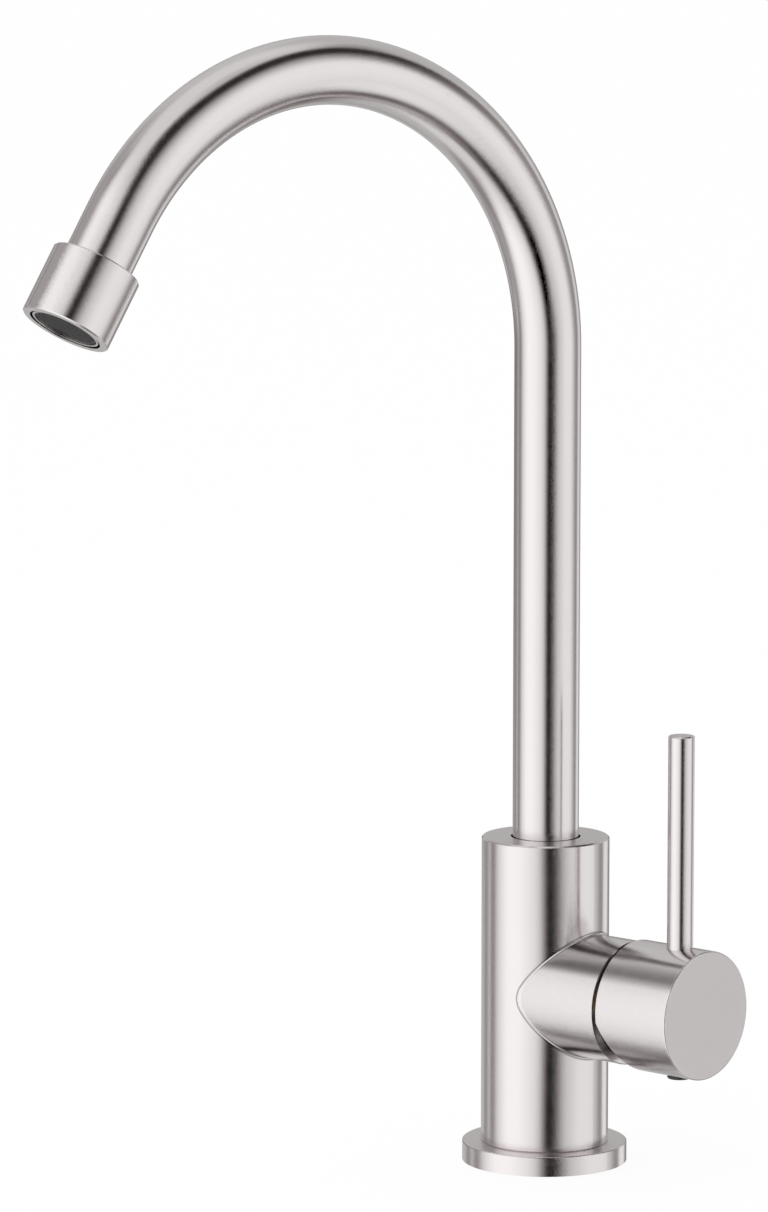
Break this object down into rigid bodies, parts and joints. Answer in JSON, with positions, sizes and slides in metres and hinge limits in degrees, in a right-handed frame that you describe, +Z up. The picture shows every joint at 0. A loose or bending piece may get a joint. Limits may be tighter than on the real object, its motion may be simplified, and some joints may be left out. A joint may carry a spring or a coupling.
{
  "type": "kitchen tap",
  "caption": "Kitchen mixer tap in brushed steel with a tall arched swivel spout and, at the side, a turning and tilting knob with a pin lever over a ceramic disc cartridge.",
  "frame": {"origin": "centre of the base ring's underside, on the axis of the column and of the spout's swivel, in the plane of the worktop", "axes": "+Z up along the column, +X along the boss towards the knob, -Y towards the sink: the spout's outlet stands 9.8 degrees past -Y, towards -X"},
  "size_m": [0.1164, 0.2296, 0.3766],
  "materials": {
    "body_steel": "warm steel, brushed round the column and round the boss",
    "ring_steel": "warm steel, brushed round the ring",
    "spout_steel": "warm steel, brushed round the tube and the collar",
    "handle_steel": "warm steel, brushed round the knob, with a fine flat end",
    "aerator_steel": "plain turned steel with a thin bright rim",
    "screw_steel": "plain steel of screws and the pin",
    "bare_brass": "bare machined brass",
    "seal_rubber": "black rubber with a dull sheen",
    "cartridge_plastic": "grey moulded plastic",
    "driver_plastic": "off-white moulded plastic",
    "ceramic": "polished off-white ceramic",
    "dark_plastic": "dark grey moulded plastic"
  },
  "bodies": {
    "body": {"tap_body": "body_steel", "base_ring": "ring_steel", "base_gasket": "seal_rubber", "spout_screw": "screw_steel", "cartridge_base": "cartridge_plastic", "port_seals": "seal_rubber", "fixed_disc": "ceramic", "cartridge_housing": "cartridge_plastic", "cartridge_nut": "bare_brass"},
    "driver": {"cartridge_rotor": "driver_plastic", "rotor_seal": "seal_rubber", "stem_pin": "screw_steel"},
    "handle": {"cartridge_stem": "bare_brass", "handle_knob": "handle_steel", "lever_rod": "handle_steel", "handle_screw": "screw_steel", "index_plug": "dark_plastic"},
    "disc_slide": {"disc_carrier": "driver_plastic", "moving_disc": "ceramic"},
    "spout": {"spout_tube": "spout_steel", "spout_foot": "bare_brass", "foot_seal_lower": "seal_rubber", "foot_seal_upper": "seal_rubber", "slip_ring_lower": "driver_plastic", "slip_ring_upper": "driver_plastic", "aerator_collar": "spout_steel", "aerator_washer": "seal_rubber", "aerator_shell": "aerator_steel", "jet_former": "driver_plastic", "aerator_screen": "dark_plastic"}
  },
  "joints": [
    {"name": "spout_swivel", "type": "hinge", "parent": "body", "child": "spout", "pos_m": [0, 0, 0.094], "axis": [0, 0, 1], "continuous": true},
    {"name": "temperature_turn", "type": "hinge", "parent": "body", "child": "driver", "pos_m": [0.03, 0, 0.0582], "axis": [1, 0, 0], "range_deg": [-45, 45]},
    {"name": "flow_tilt", "type": "hinge", "parent": "driver", "child": "handle", "pos_m": [0.032, 0, 0.0582], "axis": [0, 1, 0], "range_deg": [0, 20]},
    {"name": "disc_travel", "type": "slide", "parent": "driver", "child": "disc_slide", "axis": [0, 0, 1], "range_m": [0, 0.0036]}
  ],
  "couplings": [
    {"joint": "disc_travel", "follows": "flow_tilt", "m_per_rad": 0.01029}
  ]
}
